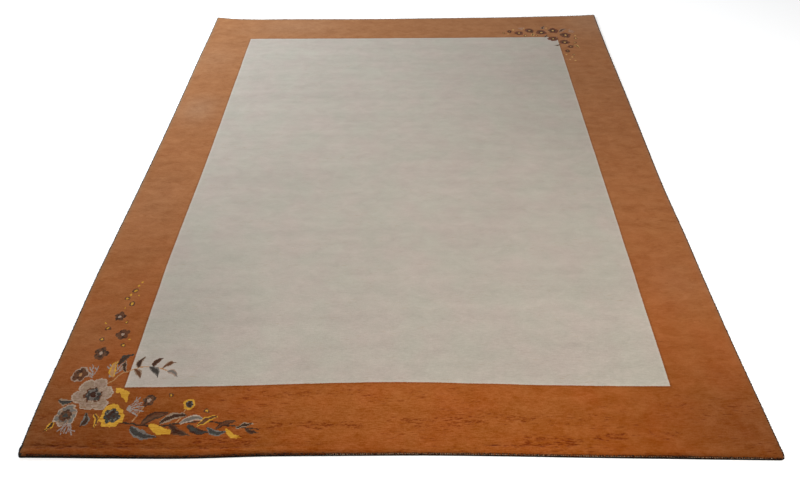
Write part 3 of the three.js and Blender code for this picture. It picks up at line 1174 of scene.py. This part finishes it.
def fieldDepth(x, y, wander):
    # how far inside the pale field a place lies, with the bows of its left and front edges
    edges, leftBow, frontBow = wool["fieldEdges"], wool["leftBow"], wool["frontBow"]
    left = bell(y, leftBow["middle"], leftBow["wide"]) * leftBow["deep"] + edges["left"]
    front = bell(x, frontBow["middle"], frontBow["wide"]) * frontBow["deep"] + edges["front"]
    front = front + x * edges["frontSlope"]
    inside = (x + wander - left).maths("MINIMUM", edges["right"] - x - wander)
    return inside.maths("MINIMUM", y + wander - front).maths("MINIMUM", edges["back"] - y - wander)


def makeWool(name):
    finish = Finish(name, {"Specular IOR Level": 0.05, "Sheen Weight": 0.06, "Sheen Roughness": 0.5,
                           "Sheen Tint": (1.0, 0.98, 0.95, 1.0)})
    spot = finish.place()
    x, y, z = finish.parts(spot)
    bands, naps, weave, flecks, dashes, gathered, pepper, wander = (
        finish.noise(finish.times(spot, often), 1.0, *rest) for often, *rest in wool["patterns"].values())
    fuzz = (finish.noise(spot, 260.0, 2.0) - 0.5) * wool["edgeFuzz"]
    inside = fieldDepth(x, y, (wander - 0.5) * wool["edgeWander"] + fuzz)
    inField = inside > 0.0
    rim = bell(inside, wool["rim"]["middle"], wool["rim"]["wide"]) * wool["rim"]["paler"]
    # painted shade along the border beside the field's edge, as of a groove
    grooveShade = bell(inside, wool["grooveShade"]["middle"], wool["grooveShade"]["wide"]) * wool["grooveShade"]["darker"]

    # broad changes of tone: the nap's clouds, and painted sheen that makes the border paler further back
    # and in its front corners
    clouds = finish.noise(spot, 2.6, 3.0, 0.55, 0.6)
    drift = finish.noise(spot, 5.5, 3.0, 0.6)
    knot = finish.join(*(part.maths("SNAP", wool["knot"]) for part in (x, y, z)))
    grain = finish.wire(finish.node("ShaderNodeTexWhiteNoise", {"noise_dimensions": "3D"}, {0: knot}))
    far = finish.soften(y, -1.55, -0.22) * 0.74 + finish.soften(y, -0.4, 1.5) * 0.26
    far = far + bell(x, 1.25, 0.3) * bell(y, -1.45, 0.5) * 0.22
    far = far + bell(x, -1.25, 0.17) * bell(y, -1.4, 0.4) * 0.22
    nearMiddle = bell(x, 0.0, 0.5) * bell(y, -1.4, 0.2) * 0.08
    far = far + nearMiddle - finish.soften(x, 0.6, 1.2) * far * 0.12

    tint = finish.soften(drift + (naps - 0.5) * 0.1, 0.28, 0.72)
    orange = finish.mix(tint, yarnTone(wool["borderTan"]), yarnTone(wool["borderOrange"]))
    border = finish.mix(far, orange, yarnTone(wool["borderFarSheen"]))
    # patches of painted sheen make the border paler
    border = finish.mix(dimness(x, y, wool["paintedSheen"]), yarnTone(wool["borderSheenTone"]), border)
    # painted shade in the border's front corners, a little painted light in its front middle, and the
    # groove's painted shade
    border = finish.brighten(border, (1.0 - grooveShade) * dimness(x, y, wool["borderShade"]))
    # the border is a little greyer near the rim, more so on the left
    rimRed, rimGreen = finish.soften(x, -0.4, 0.4, 0.89, 0.95), finish.soften(x, -0.4, 0.4, 1.17, 1.12)
    atRim = bell(finish.attribute("fromRim"), 0.0, 14.0)
    border = finish.times(border, finish.mix(atRim, white, finish.join(rimRed, rimGreen, 1.5)))
    field = finish.mix(tint, yarnTone(wool["fieldGreen"]), yarnTone(wool["fieldPink"]))
    field = finish.brighten(field, 1.0 + rim)
    ground = finish.mix(inField, border, field)
    motif = finish.brighten(finish.attribute("knotYarn", "Color"), 1 / wool["light"])
    dyed = finish.mix(finish.attribute("knotYarn", "Alpha"), ground, motif)

    # painted shade: dark dashes where the pile parts between two rows of knots, mostly in the border
    nearFront = finish.soften(y, -1.2, -1.32)
    parted = finish.soften(dashes + nearFront * 0.03, 0.58, 0.72) * finish.soften(gathered, 0.46, 0.62)
    parted = parted * (0.6 - inField * 0.42 + nearFront * 0.2)
    # the creases are darkened too: painted shade in their hollows
    crease = finish.attribute("parting") * finish.soften(pepper, 0.4, 0.6, 0.6, 1.3)
    parted = parted.maths("MAXIMUM", finish.soften(crease, 0.15, 1.6))

    # the texture shows most near the front, and more in the border than in the field
    inBorder = finish.soften(y, -1.42, -1.05, 0.74, 0.41) * finish.soften(x, 0.3, 0.8, 1.0, 0.68)
    calm = finish.soften(y, -1.2, -0.5, 0.3, 0.1) * inField + (1.0 - inField) * inBorder
    tone = (weave - 0.5) * calm * 1.25 + (grain - 0.5) * calm * 0.2
    tone = tone + (naps - 0.5) * (0.5 - inField * 0.27)
    fleck = finish.soften(flecks, 0.66, 0.78) - finish.soften(flecks, 0.3, 0.2)
    tone = tone + fleck * finish.soften(y, -1.1, -0.3, 0.13, 0.07)
    broad = (clouds - 0.5) * 0.14 + (bands - 0.5) * 0.16 + 1.0
    # painted shade and highlight along the front edge
    frontShading = finish.attribute("frontShading") + 1.0
    # painted shade over broad parts of the whole rug
    colour = finish.brighten(dyed, (tone + broad) * dimness(x, y, wool["rugShade"]) * frontShading)
    # fibre tips catch white light, so the brighter spots of the border are also paler
    pale = finish.brighten(finish.join(0.0, tone * 0.055, tone * 0.045), 1.0 - inField)
    colour = finish.vectors("ADD", {0: colour, 1: pale})
    colour = finish.times(colour, finish.mix(parted, white, wool["dashShade"]))
    finish.coat(colour, finish.soften(weave, 0.3, 0.7, 0.82, 0.97))

    tuftEnds = {"Vector": finish.times(spot, (1.0, 1.15, 1.0)), "Scale": 330.0, "Randomness": 0.75}
    tips = finish.wire(finish.node("ShaderNodeTexVoronoi", {"feature": "F1"}, tuftEnds))
    fibres = finish.noise(spot, 900.0, 3.0, 0.65)
    height = fibres * 0.4 - tips * 0.5 + naps * 1.2 + weave * 0.9 - parted * 0.8
    finish.bump(height, 0.5, 0.0022)
    return finish.material


# Two tones of each of the other yarns and cloths, as amounts of light
clothTones = {
    "leftCord": ([0.03, 0.027, 0.027, 1], [0.06, 0.053, 0.05, 1]),
    "rightCord": ([0.17, 0.13, 0.1, 1], [0.3, 0.225, 0.175, 1]),
    # the tape is a dark cloth, made near-black to stand in for the shade along the front edge as well:
    # partly painted shade
    "tape": ([0.0085, 0.0055, 0.0035, 1], [0.030, 0.020, 0.012, 1]),
    "thread": ([0.38, 0.26, 0.155, 1], [0.52, 0.40, 0.27, 1]),
}


def makeCordYarn(name):
    finish = Finish(name, {"Sheen Weight": 0.25, "Sheen Roughness": 0.4, "Specular IOR Level": 0.2})
    spot = finish.place()
    patches = finish.soften(finish.noise(spot, 9.0, 3.0), 0.35, 0.7)
    fibres = finish.noise(finish.times(spot, (1.0, 0.35, 1.0)), 2600.0, 3.0, 0.6)
    left, right = (finish.mix(patches, *clothTones[side]) for side in ("leftCord", "rightCord"))
    colour = finish.mix(finish.soften(finish.parts(spot)[0], -0.3, 0.3), left, right)
    finish.coat(finish.brighten(colour, 0.75 + fibres * 0.5), finish.soften(fibres, 0.3, 0.7, 0.75, 0.95))
    finish.bump(fibres, 0.5, 0.0004)
    return finish.material


def makeTapeCloth(name):
    finish = Finish(name, {"Specular IOR Level": 0.2})
    spot = finish.place()
    x, y, z = finish.parts(spot)
    twill = ((x + (y + z)) * 5200.0).maths("SINE") * 0.5 + 0.5
    wear = finish.noise(spot, 40.0, 3.0, 0.6)
    colour = finish.mix(finish.soften(wear, 0.4, 0.75), *clothTones["tape"])
    finish.coat(finish.brighten(colour, 0.7 + twill * 0.6), finish.soften(wear, 0.3, 0.7, 0.8, 0.95))
    finish.bump(twill + wear, 0.4, 0.0004)
    return finish.material


def makeThread(name):
    finish = Finish(name, {"Specular IOR Level": 0.3})
    spot = finish.place()
    plies = finish.noise(spot, 1500.0, 2.0)
    age = finish.noise(spot, 14.0, 2.0)
    colour = finish.mix(finish.soften(age, 0.35, 0.65), *clothTones["thread"])
    finish.coat(finish.brighten(colour, 0.8 + plies * 0.4), finish.soften(plies, 0.3, 0.7, 0.6, 0.85))
    finish.bump(plies, 0.5, 0.0003)
    return finish.material


# Floor and soft studio light

studio = {
    "floor": 16.0,
    "floorTone": [0.93, 0.93, 0.93, 1.0],
    "floorPatches": [0.88, 0.88, 0.88, 1.0],
    "floorRough": 0.9,
    "floorGlow": 0.27,
    "skyStrength": 0.4,
    "lamps": [
        {"name": "window", "place": (-2.6, 2.0, 2.0), "aim": (-0.5, 0.6, 0), "size": (2.2, 1.6),
         "power": 114, "tone": (0.89, 1.0, 1.12)},
        {"name": "overhead", "place": (1.2, -1.8, 3.0), "aim": (0.2, -0.4, 0), "size": (2.6, 2.6),
         "power": 87, "tone": (1.05, 1.0, 0.95)},
    ],
}


def addStudio(values):
    bpy.ops.mesh.primitive_plane_add(size=values["floor"], location=(0, 0, -0.0004))
    floor = bpy.context.object
    floor.name = "floor"
    paper = Finish("paperFloor", {"Specular IOR Level": 0.0, "Emission Color": white,
                                  "Emission Strength": values["floorGlow"]})
    patches = paper.noise(paper.place(), 0.6, 1.0) * 0.03
    paper.coat(paper.mix(patches, values["floorTone"], values["floorPatches"]), values["floorRough"])
    floor.data.materials.append(paper.material)
    world = bpy.data.worlds.new("studio")
    world.use_nodes = True
    background = next(node for node in world.node_tree.nodes if node.type == "BACKGROUND")
    background.inputs[0].default_value = white
    background.inputs[1].default_value = values["skyStrength"]
    scene.world = world
    for lamp in values["lamps"]:
        data = bpy.data.lights.new(lamp["name"], "AREA")
        data.shape = "RECTANGLE"
        data.size, data.size_y = lamp["size"]
        data.energy, data.color = lamp["power"], lamp["tone"]
        light = bpy.data.objects.new(lamp["name"], data)
        light.location = lamp["place"]
        towards = Vector(lamp["aim"]) - Vector(lamp["place"])
        light.rotation_euler = towards.to_track_quat("-Z", "Y").to_euler()
        scene.collection.objects.link(light)
    scene.view_settings.view_transform = "Standard"


addCamera(cameraValues)
addStudio(studio)
print("camera and studio ready")

woolFinish = makeWool("rugWool")
cordFinish = makeCordYarn("cordYarn")
tapeFinish = makeTapeCloth("tapeCloth")
threadFinish = makeThread("stitchThread")

pileSheet = addPile(woolFinish)
rimTufts = addTufts(woolFinish)
print("rim tufts:", len(rimTufts.data.polygons), "faces")
cords = {
    "selvage_left": addSelvage("overcastLeft", -1, cordFinish),
    "selvage_right": addSelvage("overcastRight", 1, cordFinish),
}
tapes = {
    "end_tape_front": addEndTape("hemTapeFront", -1, tapeFinish),
    "end_tape_back": addEndTape("hemTapeBack", 1, tapeFinish),
}
cornerFold = addCornerFold("cornerFold", tapeFinish)
seams = [addStitches("stitchesFront", -1, threadFinish), addStitches("stitchesBack", 1, threadFinish)]
print("cords, tapes and stitches added")

for piece in (pileSheet, rimTufts, *cords.values(), *tapes.values(), cornerFold, *seams):
    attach(piece, "root")
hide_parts("carpet")
for node, piece in cords.items():
    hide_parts(node)
for node, piece in tapes.items():
    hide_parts(node)
